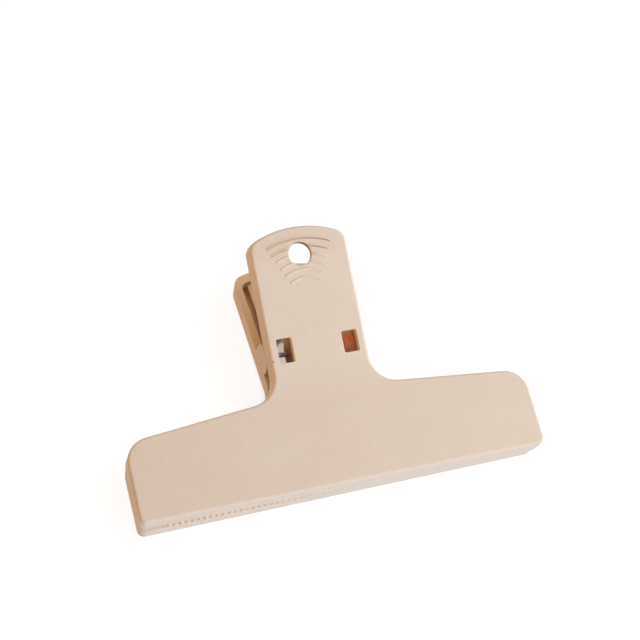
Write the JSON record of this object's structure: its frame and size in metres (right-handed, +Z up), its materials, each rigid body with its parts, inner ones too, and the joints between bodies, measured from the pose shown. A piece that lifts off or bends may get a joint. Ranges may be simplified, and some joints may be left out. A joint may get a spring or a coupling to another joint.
{
  "type": "magnetic clip",
  "caption": "Wide sprung paper clip in moulded plastic with toothed lips, leaning finger handles with hanging holes, and a round magnet in the back of the rear handle.",
  "frame": {"origin": "centre of the bounding box, at its bottom: the surface that the clip lies on", "axes": "+X along the jaws to the right, +Y from the lips towards the handles, +Z up, out of the front half's face; the clip lies on its back"},
  "size_m": [0.12, 0.0778, 0.0349],
  "materials": {
    "moulded_plastic": "satin moulded cream",
    "pin_steel": "drawn bright",
    "spring_steel": "bright zinc",
    "ferrite": "ground, dark grey"
  },
  "bodies": {
    "rear": {"rear_half": "moulded_plastic", "hinge_pin": "pin_steel", "magnet": "ferrite", "torsion_spring": "spring_steel"},
    "front": {"front_half": "moulded_plastic"}
  },
  "joints": [
    {"name": "jaw_hinge", "type": "hinge", "parent": "rear", "child": "front", "pos_m": [0, 0.00414, 0.01315], "axis": [-1, 0, 0], "range_deg": [0, 36], "stiffness_Nm_per_rad": 0.8, "springref_deg": -28.65, "deforming": ["torsion_spring"]}
  ]
}
